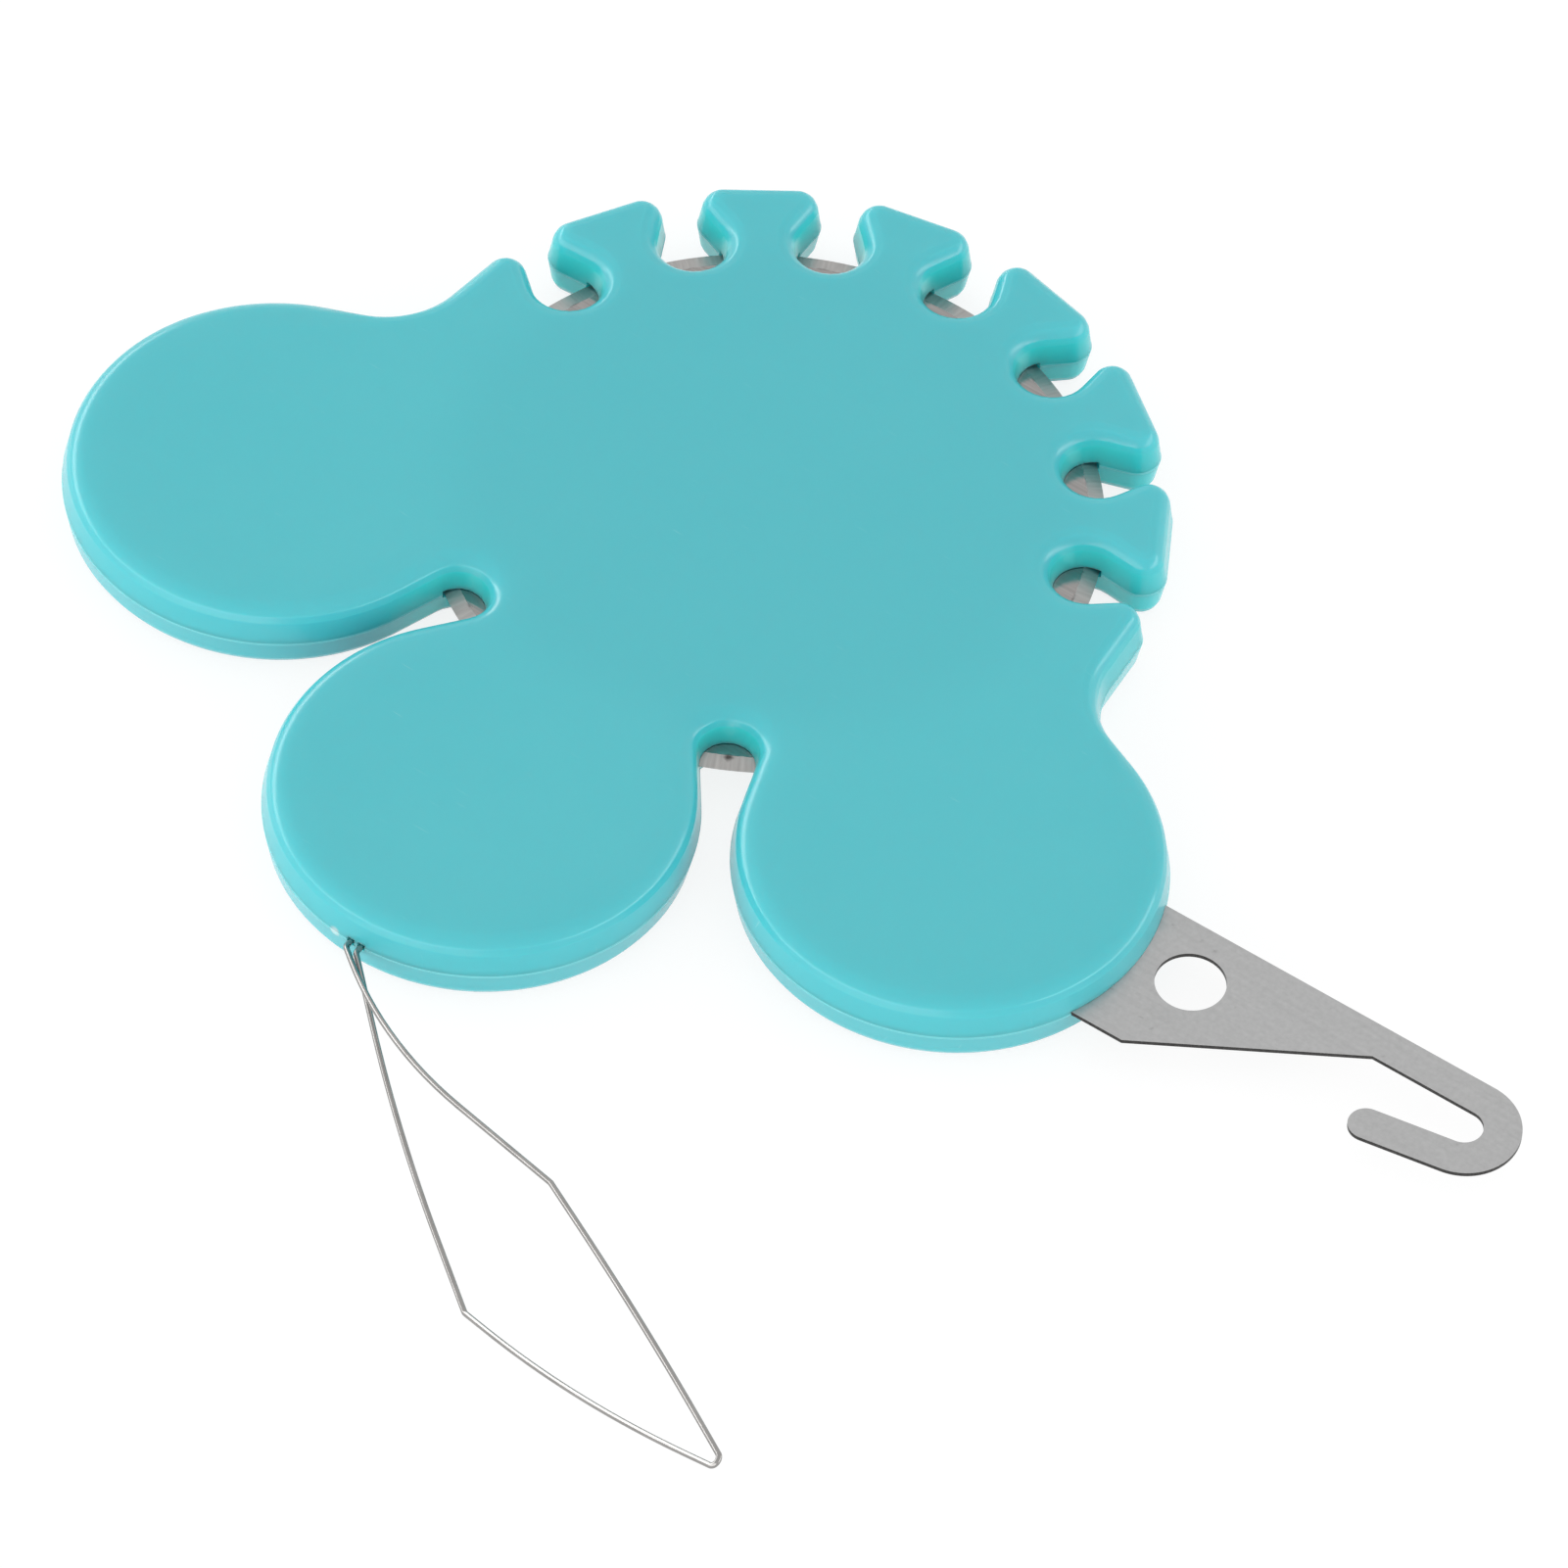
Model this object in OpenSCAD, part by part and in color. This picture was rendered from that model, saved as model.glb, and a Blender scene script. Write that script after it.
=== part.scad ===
// Flat thread cutter with two needle threaders.
// Two moulded halves meet in a parting plane and hold a round blade, a sheet metal hook
// and a wire loop there.
// The origin is on the blade's axis, in the plane that the tool rests on.
// +Y runs through the middle of the crown, +X points from the body to the hook and +Z is up.

/* [Body] */
// Thickness of the closed body
body_t = 3.4; // [3:0.1:4]
// Radius of the three round lobes
lobe_r = 8.85; // [8.4:0.05:9.6]
// Narrowest gap between the lower lobe and its neighbours
lobe_gap = 1.3; // [0.8:0.1:2.4]
// Distance of the side lobes' centres from the blade's axis
side_lobe_reach = 20; // [19.4:0.1:21]
// Distance of the lower lobe's centre from the blade's axis
foot_lobe_reach = 19.75; // [19.25:0.05:21]
// Radius of the rounded rim
edge_r = 0.65; // [0.4:0.05:0.75]
// Lean of the wall between the parting line and the rounded rim
wall_draft = 10; // [4:1:10]
// Small bevel where the halves meet, seen as the parting line
seam_break = 0.06; // [0.02:0.01:0.09]

/* [Crown of notches] */
// Number of cutting notches in the crown
notch_count = 7; // [5:1:8]
// Angle from the first notch to the last
crown_span = 144.4; // [140:0.2:148]
// Radius of a notch's round floor
notch_r = 1.3; // [1:0.05:1.4]
// Width of a notch's mouth between two teeth
notch_mouth = 1.4; // [1:0.1:1.8]
// How far the blade's edge shows past a notch's floor
blade_show = 1.6; // [1.2:0.1:2]
// How far the teeth stand out past the blade's edge
tooth_guard = 2.7; // [2.5:0.1:3.5]
// Radius of the teeth's corners
tooth_corner_r = 1.05; // [1:0.05:1.2]
// Radius of the hollow between the end teeth and the side lobes
neck_r = 3.6; // [2.6:0.1:5]

/* [Notches between the lobes] */
// Radius of the notches between the lobes
gap_notch_r = 1.1; // [1:0.05:1.4]
// Room between such a notch and the lobes' circles
gap_notch_lead = 0.2; // [0.05:0.05:0.4]

/* [Blade] */
// Diameter of the round blade
blade_d = 28; // [27:0.5:29]
// Thickness of the blade
blade_t = 0.3; // [0.2:0.05:0.5]
// Width of the ground bevel on both faces
bevel_w = 0.65; // [0.4:0.05:1.2]
// Thickness left at the cutting edge
cutting_edge_t = 0.04; // [0.02:0.01:0.08]
// Diameter of the blade's centre hole
blade_hole_d = 6; // [4:0.5:9]

/* [Hook] */
// Thickness of the hook's sheet metal
hook_t = 0.2; // [0.2:0.05:0.6]
// Width of the hook's plate where it leaves the lobe
hook_w = 6.8; // [6:0.1:7.6]
// Metal left behind the peg hole, inside the lobe
tang_back = 1.6; // [1.2:0.1:2]
// Straight run of the lower edge outside the lobe
shoulder_run = 1.65; // [1:0.05:2.5]
// Distance from the lobe's rim to the start of the narrow stem
stem_start = 10.15; // [9:0.05:12]
// Width of the stem and of the hook's limb
stem_w = 1.54; // [1.2:0.02:2]
// Distance from the lobe's rim to the centre of the hook's bend
bend_reach = 14.95; // [14:0.05:18]
// Radius of the round end of the slot in the hook
slot_r = 0.82; // [0.6:0.02:1.2]
// Length of the limb that runs back from the bend
limb_run = 3.48; // [2.4:0.02:3.6]
// Angle of the limb to the stem
limb_angle = 10; // [0:1:15]
// Angle of the whole hook to the X axis
hook_lean = 0.8; // [0:0.1:3]
// Diameter of the hanging hole
hook_hole_d = 2.9; // [2:0.1:3.4]
// Distance from the lobe's rim to the hanging hole's centre
hook_hole_reach = 2.25; // [2:0.05:3]
// Offset of the hanging hole from the plate's middle line
hook_hole_side = 0.7; // [0:0.1:1]

/* [Wire loop] */
// Diameter of the spring wire
wire_d = 0.25; // [0.2:0.05:0.35]
// Distance between the two strands where they leave the lobe
tail_spread = 0.5; // [0.45:0.05:0.8]
// Offset of the strands' exit from the lobe's middle line
tail_side = 0.22; // [0:0.02:0.4]
// Length of the straight stubs outside the lobe
stub_run = 0.3; // [0.2:0.05:0.6]

/* [Pegs and fits] */
// Radius of the joining pegs in the lobes
peg_r = 1.3; // [1.1:0.1:1.5]
// Height of the pegs and the hub above the parting plane
peg_rise = 0.9; // [0.7:0.1:1]
// Radial gap between the blade's hole and the hub
run_gap = 0.05; // [0.02:0.01:0.1]
// Gap between the blade's faces and its pocket
face_gap = 0.08; // [0.05:0.01:0.12]
// Gap between the blade's edge and the pocket's wall
rim_gap = 0.1; // [0.1:0.05:0.5]
// Gap round pieces that are seated in a half, such as pegs, tang and wire
seat_gap = 0.05; // [0.03:0.01:0.08]

/* [Hidden] */
shell_colour = "#61bec5";
steel_colour = "#b4b4b4";
blade_colour = "#b9b5b4";
// Fineness of round faces and of the outline's arcs, in degrees per step
$fn = 96;
lobe_step = 7.5;
corner_step = 20;
notch_step = 15;
// Steps of the rounded rim
rim_steps = 5;
// Depth by which joined forms run into each other
root = 0.4;

half_t = body_t / 2;
blade_r = blade_d / 2;
notch_reach = blade_r - blade_show + notch_r;
tooth_reach = blade_r + tooth_guard;
pocket_r = blade_r + rim_gap;
pocket_depth = blade_t / 2 + face_gap;
hub_r = blade_hole_d / 2 - run_gap;
notch_pitch = crown_span / (notch_count - 1);
last_notch = (notch_count - 1) / 2;

// Place at a distance from the blade's axis, at an angle measured from +Y towards +X.
function polar(reach, angle) = [reach * sin(angle), reach * cos(angle)];
function flipped(p) = [-p.x, p.y];
function wrap(angle) = angle - 360 * floor(angle / 360);

// Centre of the circle that lies ra from a and rb from b, left of the way from a to b.
function touching(a, ra, b, rb) =
    let (
        way = b - a,
        span = norm(way),
        along = (span * span + ra * ra - rb * rb) / (2 * span),
        aside = sqrt(ra * ra - along * along)
    )
    a + (along * way + aside * [-way.y, way.x]) / span;

// The side lobes stand where their rims keep lobe_gap from the lower lobe's rim.
lobe_spacing = 2 * lobe_r + lobe_gap;
lobe_turn = acos((side_lobe_reach ^ 2 + foot_lobe_reach ^ 2 - lobe_spacing ^ 2)
    / (2 * side_lobe_reach * foot_lobe_reach));
foot_lobe = [0, -foot_lobe_reach];
right_lobe = polar(side_lobe_reach, 180 - lobe_turn);
left_lobe = flipped(right_lobe);

// Corner of the tooth beside a notch.
// side is +1 for the tooth clockwise of the notch and -1 for the other one.
function tooth_corner(notch, side) =
    let (
        aside = notch_mouth / 2 + tooth_corner_r,
        half = notch_pitch / 2,
        up = (tooth_reach - tooth_corner_r - aside * sin(half)) / cos(half),
        angle = notch * notch_pitch
    )
    up * [sin(angle), cos(angle)] + side * aside * [cos(angle), -sin(angle)];

// The hollow beside the last tooth touches the line of that tooth's tip and the right lobe.
// neck_slack keeps a short straight run between the hollow and the lobe.
neck_slack = 0.03;
tip_normal = polar(1, (last_notch + 0.5) * notch_pitch);
tip_along = [tip_normal.y, -tip_normal.x];
neck_base = (tooth_reach + neck_r) * tip_normal;
neck_way = neck_base - right_lobe;
neck_shift = -neck_way * tip_along
    - sqrt((neck_way * tip_along) ^ 2 - neck_way * neck_way + (lobe_r + neck_r + neck_slack) ^ 2);
right_neck = neck_base + neck_shift * tip_along;
gap_notch_room = lobe_r + gap_notch_r + gap_notch_lead;
right_gap_notch = touching(foot_lobe, gap_notch_room, right_lobe, gap_notch_room);

// The outline is a belt round discs, counter-clockwise.
// A disc is [centre, radius], with a negative radius where the outline is hollow.
crown_discs = [
    for (notch = [last_notch : -1 : -last_notch])
        each [
            [tooth_corner(notch, 1), tooth_corner_r],
            [polar(notch_reach, notch * notch_pitch), -notch_r],
            [tooth_corner(notch, -1), tooth_corner_r]
        ]
];
outline_discs = concat(
    [[right_lobe, lobe_r], [right_neck, -neck_r]],
    crown_discs,
    [
        [flipped(right_neck), -neck_r],
        [left_lobe, lobe_r],
        [flipped(right_gap_notch), -gap_notch_r],
        [foot_lobe, lobe_r],
        [right_gap_notch, -gap_notch_r]
    ]
);

// Direction of the outward normal on the straight run from one disc of the belt to the next.
function run_normal(a, b) =
    let (way = b[0] - a[0])
    atan2(way.y, way.x) - acos((a[1] - b[1]) / norm(way));

function arc_step(radius) = radius == lobe_r ? lobe_step : radius > 0 ? corner_step : notch_step;

// Points of the belt on one disc, moved inwards by inset.
function disc_arc(discs, i, inset) =
    let (
        count = len(discs),
        disc = discs[i],
        from = run_normal(discs[(i + count - 1) % count], disc),
        to = run_normal(disc, discs[(i + 1) % count]),
        sweep = disc[1] > 0 ? wrap(to - from) : -wrap(from - to),
        steps = max(1, ceil(abs(sweep) / arc_step(disc[1])))
    )
    [
        for (k = [0 : steps])
            let (angle = from + sweep * k / steps)
            disc[0] + (disc[1] - inset) * [cos(angle), sin(angle)]
    ];

function belt(discs, inset) = [for (i = [0 : len(discs) - 1]) each disc_arc(discs, i, inset)];

// Rings of a half, from the parting plane outwards: [inset, height].
// A leaning wall rises from the parting line and turns into the flat face by a rounded rim.
rim_start = half_t - edge_r * (1 - sin(wall_draft));
wall_inset = (rim_start - seam_break) * tan(wall_draft);
rim_rings = concat(
    [[seam_break, 0], [0, seam_break]],
    [
        for (k = [0 : rim_steps])
            let (angle = wall_draft + (90 - wall_draft) * k / rim_steps)
            [
                wall_inset + edge_r * (cos(wall_draft) - cos(angle)),
                rim_start + edge_r * (sin(angle) - sin(wall_draft))
            ]
    ]
);

// Solid skinned over rings of equally many points, each counter-clockwise seen from the last ring's side.
module skin(rings) {
    size = len(rings[0]);
    last = len(rings) - 1;
    sides = [
        for (r = [0 : last - 1], k = [0 : size - 1])
            let (next = (k + 1) % size)
            each [
                [r * size + k, (r + 1) * size + next, r * size + next],
                [r * size + k, (r + 1) * size + k, (r + 1) * size + next]
            ]
    ];
    caps = [[for (k = [0 : size - 1]) k], [for (k = [size - 1 : -1 : 0]) last * size + k]];
    polyhedron(points = [for (ring = rings) each ring], faces = concat(sides, caps));
}

// One half of the body, standing on the parting plane at z = 0 and set to its full height.
module half_body() {
    resize([0, 0, half_t])
        skin([
            for (ring = rim_rings)
                [for (p = belt(outline_discs, ring[0])) [p.x, p.y, ring[1]]]
        ]);
}

// Hook

// The hook's own frame has its origin on the right lobe's axis, in the parting plane.
module at_hook() {
    translate([right_lobe.x, right_lobe.y, 0]) rotate(hook_lean) children();
}

module tang_outline(gap) {
    back = peg_r + seat_gap + tang_back + gap;
    translate([-back, -hook_w / 2 - gap]) square([back + lobe_r + shoulder_run, hook_w + 2 * gap]);
}

stem_inner = hook_w / 2 - stem_w;
bend_r = slot_r + stem_w;
bend_centre = [lobe_r + bend_reach, stem_inner - slot_r];

module hook_outline() {
    shoulder = lobe_r + shoulder_run;
    tang_outline(0);
    polygon([
        [0, hook_w / 2],
        [0, -hook_w / 2],
        [shoulder, -hook_w / 2],
        [lobe_r + stem_start, stem_inner],
        [bend_centre.x, stem_inner],
        [bend_centre.x, hook_w / 2]
    ]);
    translate(bend_centre) {
        difference() {
            circle(bend_r);
            circle(slot_r);
            translate([-2 * bend_r, -bend_r]) square([2 * bend_r, bend_r + slot_r]);
            rotate(limb_angle) translate([-2 * bend_r, -slot_r]) square([2 * bend_r, bend_r + slot_r]);
        }
        rotate(limb_angle) {
            translate([-limb_run, -bend_r]) square([limb_run, stem_w]);
            translate([-limb_run, -slot_r - stem_w / 2]) circle(stem_w / 2);
        }
    }
}

// Wire

wire_r = wire_d / 2;
tail_x = tail_spread / 2;
channel_w = wire_d + 2 * seat_gap;
peg_wrap_r = peg_r + wire_r + 2 * seat_gap;
// The tails end in a bend behind the peg, in a round pocket that clears the bend.
tail_hook_r = peg_wrap_r - 2 * wire_d;
tail_pocket_r = tail_hook_r + (peg_wrap_r - tail_hook_r) * sqrt(2) + wire_r + 2 * seat_gap;
// The tails run straight in the two exit channels, then spread to pass the peg on both sides.
channel_run = 3;
exit_y = foot_lobe.y - lobe_r;
exit_point = [tail_side, exit_y, half_t];

// Radii of the wire's bends: at the stubs and the tip, at the two kinks and inside the lobe.
tip_bend_r = 0.28;
kink_bend_r = 0.4;
tail_bend_r = 1.5;

// Route of the wire outside the lobe, from the strands' exit: [place, radius of the bend].
loop_route = [
    [[-tail_x, -stub_run, 0], tip_bend_r],
    [[4.4, -4.2, 1.3], 28],
    [[15, -7.7, 4.2], kink_bend_r],
    [[22.57, -12.09, 5.7], 240],
    [[29.9, -16.85, 7.2], tip_bend_r],
    [[21.5, -15.1, 3.2], 80],
    [[14.25, -12.15, -0.1], kink_bend_r],
    [[6.86, -6.55, -0.05], 100],
    [[tail_x, -stub_run, 0], tip_bend_r]
];

// One tail inside the lobe, from its end behind the peg to its exit.
// side is -1 for the left tail and +1 for the right one.
function tail_route(side) = [
    [[side * wire_d, foot_lobe.y + peg_wrap_r, half_t], 0],
    [[side * peg_wrap_r, foot_lobe.y + peg_wrap_r, half_t], tail_hook_r],
    [[side * peg_wrap_r, foot_lobe.y - peg_r, half_t], tail_bend_r],
    [[tail_side + side * tail_x, exit_y + channel_run, half_t], tail_bend_r]
];
function reversed(list) = [for (i = [len(list) - 1 : -1 : 0]) list[i]];

wire_route = concat(
    tail_route(-1),
    [for (stop = loop_route) [exit_point + stop[0], stop[1]]],
    reversed(tail_route(1))
);

function unit(v) = v / norm(v);
bend_step = 22;

// Points of the round bend at one stop of a route.
function bend_points(before, stop, after, radius) =
    let (
        in = unit(stop - before),
        out = unit(after - stop),
        turn = acos(in * out),
        reach = radius * tan(turn / 2),
        start = stop - reach * in,
        inwards = unit(out - in * (in * out)),
        steps = max(2, ceil(turn / bend_step), ceil(sqrt(radius) / 2))
    )
    [
        for (k = [0 : steps])
            let (angle = turn * k / steps)
            start + radius * (sin(angle) * in + (1 - cos(angle)) * inwards)
    ];

wire_line = [
    for (i = [0 : len(wire_route) - 1])
        each (wire_route[i][1] == 0
            ? [wire_route[i][0]]
            : bend_points(wire_route[i - 1][0], wire_route[i][0], wire_route[i + 1][0], wire_route[i][1]))
];

// Round section of the wire, square to its line at one point.
wire_sides = 8;
function wire_ring(line, i) =
    let (
        last = len(line) - 1,
        way = unit(line[min(i + 1, last)] - line[max(i - 1, 0)]),
        side = unit(cross(way, [0, 0, 1])),
        up = cross(side, way)
    )
    [
        for (k = [0 : wire_sides - 1])
            let (angle = 360 * k / wire_sides)
            line[i] + wire_r * (cos(angle) * side + sin(angle) * up)
    ];

// Cuts and pegs

// Everything that both halves leave free at the parting plane, as a solid that reaches both ways.
module parting_cuts() {
    translate([0, 0, -pocket_depth]) cylinder(r = pocket_r, h = 2 * pocket_depth);
    translate([0, 0, -hook_t / 2]) linear_extrude(hook_t) at_hook() tang_outline(seat_gap);
    tail_depth = wire_r + seat_gap;
    translate([0, 0, -tail_depth]) linear_extrude(2 * tail_depth) {
        translate(foot_lobe) circle(tail_pocket_r);
        channel_in = exit_y + channel_run;
        polygon([
            [-tail_pocket_r, foot_lobe.y],
            [-tail_pocket_r, foot_lobe.y - peg_r],
            [tail_side - tail_x - channel_w / 2, channel_in],
            [tail_side + tail_x + channel_w / 2, channel_in],
            [tail_pocket_r, foot_lobe.y - peg_r],
            [tail_pocket_r, foot_lobe.y]
        ]);
        for (side = [-1, 1])
            translate([tail_side + side * tail_x - channel_w / 2, exit_y - root])
                square([channel_w, channel_run + 2 * root]);
    }
}

// Round post that starts inside the lower half and rises past the parting plane.
module post(place, radius, rise) {
    foot = pocket_depth + root;
    translate([place.x, place.y, -foot]) cylinder(r = radius, h = foot + rise);
}

// The three joining pegs and the blade's hub, or their sockets if gap isn't 0.
module posts(gap) {
    for (place = [left_lobe, foot_lobe, right_lobe])
        post(place, peg_r + gap, peg_rise + gap);
    post([0, 0], hub_r + gap, peg_rise + gap);
}

// Sub-parts

module upper_shell() {
    color(shell_colour)
        translate([0, 0, half_t])
            difference() {
                half_body();
                parting_cuts();
                posts(seat_gap);
            }
}

module lower_shell() {
    color(shell_colour)
        translate([0, 0, half_t]) {
            difference() {
                mirror([0, 0, 1]) half_body();
                parting_cuts();
            }
            posts(0);
        }
}

module cutter_blade() {
    color(blade_colour)
        translate([0, 0, half_t])
            rotate_extrude()
                polygon([
                    [blade_hole_d / 2, -blade_t / 2],
                    [blade_r - bevel_w, -blade_t / 2],
                    [blade_r, -cutting_edge_t / 2],
                    [blade_r, cutting_edge_t / 2],
                    [blade_r - bevel_w, blade_t / 2],
                    [blade_hole_d / 2, blade_t / 2]
                ]);
}

module hook_threader() {
    color(steel_colour)
        translate([0, 0, half_t - hook_t / 2])
            at_hook()
                difference() {
                    linear_extrude(hook_t) hook_outline();
                    translate([0, 0, -root]) cylinder(r = peg_r + seat_gap, h = hook_t + 2 * root);
                    translate([lobe_r + hook_hole_reach, hook_hole_side, -root])
                        cylinder(d = hook_hole_d, h = hook_t + 2 * root);
                }
}

module wire_loop() {
    color(steel_colour)
        skin([for (i = [0 : len(wire_line) - 1]) wire_ring(wire_line, i)]);
}

upper_shell();
lower_shell();
cutter_blade();
hook_threader();
wire_loop();
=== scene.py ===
"""Looks of a flat thread cutter with a hook and a wire needle threader.

Every object is in metres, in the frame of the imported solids: +Z is up and the blade's axis
passes through the origin. Driving sizes are written in millimetres, the meshes are modelled in
millimetres, and a finished mesh is turned to metres.
"""

import logging
import math
from dataclasses import dataclass, field
from enum import Enum
from typing import Any, NamedTuple

import bmesh
import bpy
from mathutils import Matrix, Vector


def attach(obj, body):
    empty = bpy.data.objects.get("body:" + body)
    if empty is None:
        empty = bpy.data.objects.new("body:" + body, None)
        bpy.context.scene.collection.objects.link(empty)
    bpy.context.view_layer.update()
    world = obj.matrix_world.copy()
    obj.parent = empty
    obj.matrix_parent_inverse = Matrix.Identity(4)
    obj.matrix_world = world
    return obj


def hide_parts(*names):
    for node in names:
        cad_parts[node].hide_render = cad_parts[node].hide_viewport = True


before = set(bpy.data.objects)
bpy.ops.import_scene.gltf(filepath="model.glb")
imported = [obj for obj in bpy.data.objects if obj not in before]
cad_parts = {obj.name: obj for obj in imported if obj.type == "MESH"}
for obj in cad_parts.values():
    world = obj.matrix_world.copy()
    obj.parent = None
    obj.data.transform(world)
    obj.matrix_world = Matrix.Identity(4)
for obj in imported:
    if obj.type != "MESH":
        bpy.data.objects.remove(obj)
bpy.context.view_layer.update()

MM = 0.001
PLAN = Vector((1.0, 1.0, 0.0))
UP = Vector((0.0, 0.0, 1.0))
# Settings and ranges that many nodes share
PRODUCT = {"operation": "MULTIPLY"}
COLOUR_MIX = {"data_type": "RGBA"}
NUMBER_MIX = {"data_type": "FLOAT"}
SMOOTH = {"interpolation_type": "SMOOTHSTEP"}
NOISE_RANGE = {"From Min": 0.3, "From Max": 0.7}
log = logging.getLogger("thread_cutter")


class Body(str, Enum):
    """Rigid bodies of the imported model."""

    CASE = "case"
    BLADE = "blade"


class Slot(str, Enum):
    """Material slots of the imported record."""

    SHELL = "shell_plastic"
    BLADE = "blade_steel"
    SHEET = "sheet_steel"
    WIRE = "wire_steel"


class Half(Enum):
    """The moulded halves of the body, each named for the solid that it stands for."""

    UPPER = "upper_shell"
    LOWER = "lower_shell"


def linear(hex_colour: str) -> tuple[float, float, float, float]:
    """Turns an sRGB hex colour to linear light.

    Args:
        hex_colour: Colour such as "#61bec5".

    Returns:
        Red, green, blue and alpha, in linear light.
    """
    channels = [int(hex_colour[i : i + 2], 16) / 255 for i in (1, 3, 5)]
    light = [c / 12.92 if c <= 0.04045 else ((c + 0.055) / 1.055) ** 2.4 for c in channels]
    return (light[0], light[1], light[2], 1.0)


def per_metre(size_mm: float) -> float:
    """Gives the texture scale at which one cell of a pattern is size_mm wide."""
    return 1.0 / (size_mm * MM)


def limits(low: float, high: float) -> dict[str, float]:
    """Gives the inputs of a range that is spread from 0 at low to 1 at high."""
    return {"From Min": low, "From Max": high}


def within(reach_mm: float, blur_mm: float) -> dict[str, float]:
    """Gives the inputs of a range that is 1 inside a reach and 0 outside it, blurred to each side."""
    return limits((reach_mm + blur_mm) * MM, (reach_mm - blur_mm) * MM)


def add_node(
    tree: bpy.types.NodeTree,
    kind: str,
    settings: dict[str, Any] | None = None,
    inputs: dict[str | int, Any] | None = None,
) -> bpy.types.Node:
    """Adds one shader node with its settings and links.

    Args:
        tree: Node tree that takes the node.
        kind: Node type, such as "ShaderNodeTexNoise".
        settings: The node's own attributes, by name.
        inputs: By the input's name or number, a value, a socket to link, or a node whose first
            output in use is linked.

    Returns:
        The new node.
    """
    node = tree.nodes.new(kind)
    for name, value in (settings or {}).items():
        setattr(node, name, value)
    for name, value in (inputs or {}).items():
        if isinstance(value, bpy.types.Node):
            value = next(socket for socket in value.outputs if socket.enabled)
        if isinstance(value, bpy.types.NodeSocket):
            tree.links.new(value, node.inputs[name])
        else:
            node.inputs[name].default_value = value
    return node


def new_material(name: str) -> tuple[bpy.types.Material, bpy.types.NodeTree]:
    """Makes an empty material that is ready for nodes.

    Args:
        name: Name of the material.

    Returns:
        The material and its node tree.
    """
    material = bpy.data.materials.new(name)
    material.use_nodes = True
    material.node_tree.nodes.clear()
    return material, material.node_tree


def direction(azimuth_deg: float, elevation_deg: float) -> Vector:
    """Gives the way from a target to what stands at an azimuth, from -Y towards +X, and an elevation."""
    turn, rise = math.radians(azimuth_deg), math.radians(elevation_deg)
    return Vector((math.sin(turn) * math.cos(rise), -math.cos(turn) * math.cos(rise), math.sin(rise)))


def finished_mesh(bm: bmesh.types.BMesh, name: str) -> bpy.types.Mesh:
    """Turns a bmesh to a mesh with its doubles merged and its faces pointing outwards.

    Args:
        bm: The bmesh, in millimetres, which is freed.
        name: Name of the mesh.

    Returns:
        The mesh, in millimetres.
    """
    merge_distance = 1e-5
    bmesh.ops.remove_doubles(bm, verts=bm.verts[:], dist=merge_distance)
    bmesh.ops.recalc_face_normals(bm, faces=bm.faces[:])
    mesh = bpy.data.meshes.new(name)
    bm.to_mesh(mesh)
    bm.free()
    return mesh


def placed_piece(mesh: bpy.types.Mesh, name: str, crease_deg: float) -> bpy.types.Object:
    """Links a mesh as a smooth-shaded piece, in metres.

    Args:
        mesh: The mesh, in millimetres.
        name: Name of the piece.
        crease_deg: Angle between faces past which their edge is sharp.

    Returns:
        The piece's object, at the origin.
    """
    mesh.transform(Matrix.Scale(MM, 4))
    mesh.shade_smooth()
    mesh.set_sharp_from_angle(angle=math.radians(crease_deg))
    piece = bpy.data.objects.new(name, mesh)
    bpy.context.scene.collection.objects.link(piece)
    log.info("%s: %d faces", name, len(mesh.polygons))
    return piece


class Disc(NamedTuple):
    """Round support of an outline, with the room for a rim there. A negative radius is a hollow."""

    centre: Vector
    radius: float
    room: float

    def drawn_in(self, inset: float) -> "Disc":
        """Gives the disc of the outline that lies inset further in, or less where room is short."""
        return self._replace(radius=self.radius - self.room * (1 - math.exp(-inset / self.room)))


def run_normal(here: Disc, there: Disc) -> float:
    """Finds the outward normal of the straight run between two discs.

    Args:
        here: Disc that the run leaves.
        there: Disc that the run comes to.

    Returns:
        Direction of the normal in plan, in radians.
    """
    way = there.centre - here.centre
    return math.atan2(way.y, way.x) - math.acos((here.radius - there.radius) / way.length)


def arc_of_vertices(
    bm: bmesh.types.BMesh, start: Vector, centre: Vector, sweep: float, steps: int
) -> tuple[bmesh.types.BMVert, bmesh.types.BMVert]:
    """Spins one vertex to a flat arc.

    Args:
        bm: The bmesh that takes the arc.
        start: First point of the arc.
        centre: Centre of the arc.
        sweep: Angle of the arc, counter-clockwise, in radians.
        steps: Number of edges along the arc.

    Returns:
        The arc's first and last vertices.
    """
    first = bmesh.ops.create_vert(bm, co=start)["vert"][0]
    spun = bmesh.ops.spin(bm, geom=[first], cent=centre, axis=UP, angle=sweep, steps=steps)
    last = next(v for v in spun["geom_last"] if isinstance(v, bmesh.types.BMVert))
    return first, last


def join_runs(bm: bmesh.types.BMesh, runs: list[tuple[bmesh.types.BMVert, bmesh.types.BMVert]]) -> None:
    """Joins arcs and corners, given by their first and last vertices, to a closed loop."""
    for (_, end), (start, _) in zip(runs, runs[1:] + runs[:1]):
        bm.edges.new((end, start))


def added(bm: bmesh.types.BMesh, other: bmesh.types.BMesh) -> None:
    """Adds the whole of another bmesh, which is freed."""
    mesh = bpy.data.meshes.new("added")
    other.to_mesh(mesh)
    other.free()
    bm.from_mesh(mesh)
    bpy.data.meshes.remove(mesh)


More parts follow.
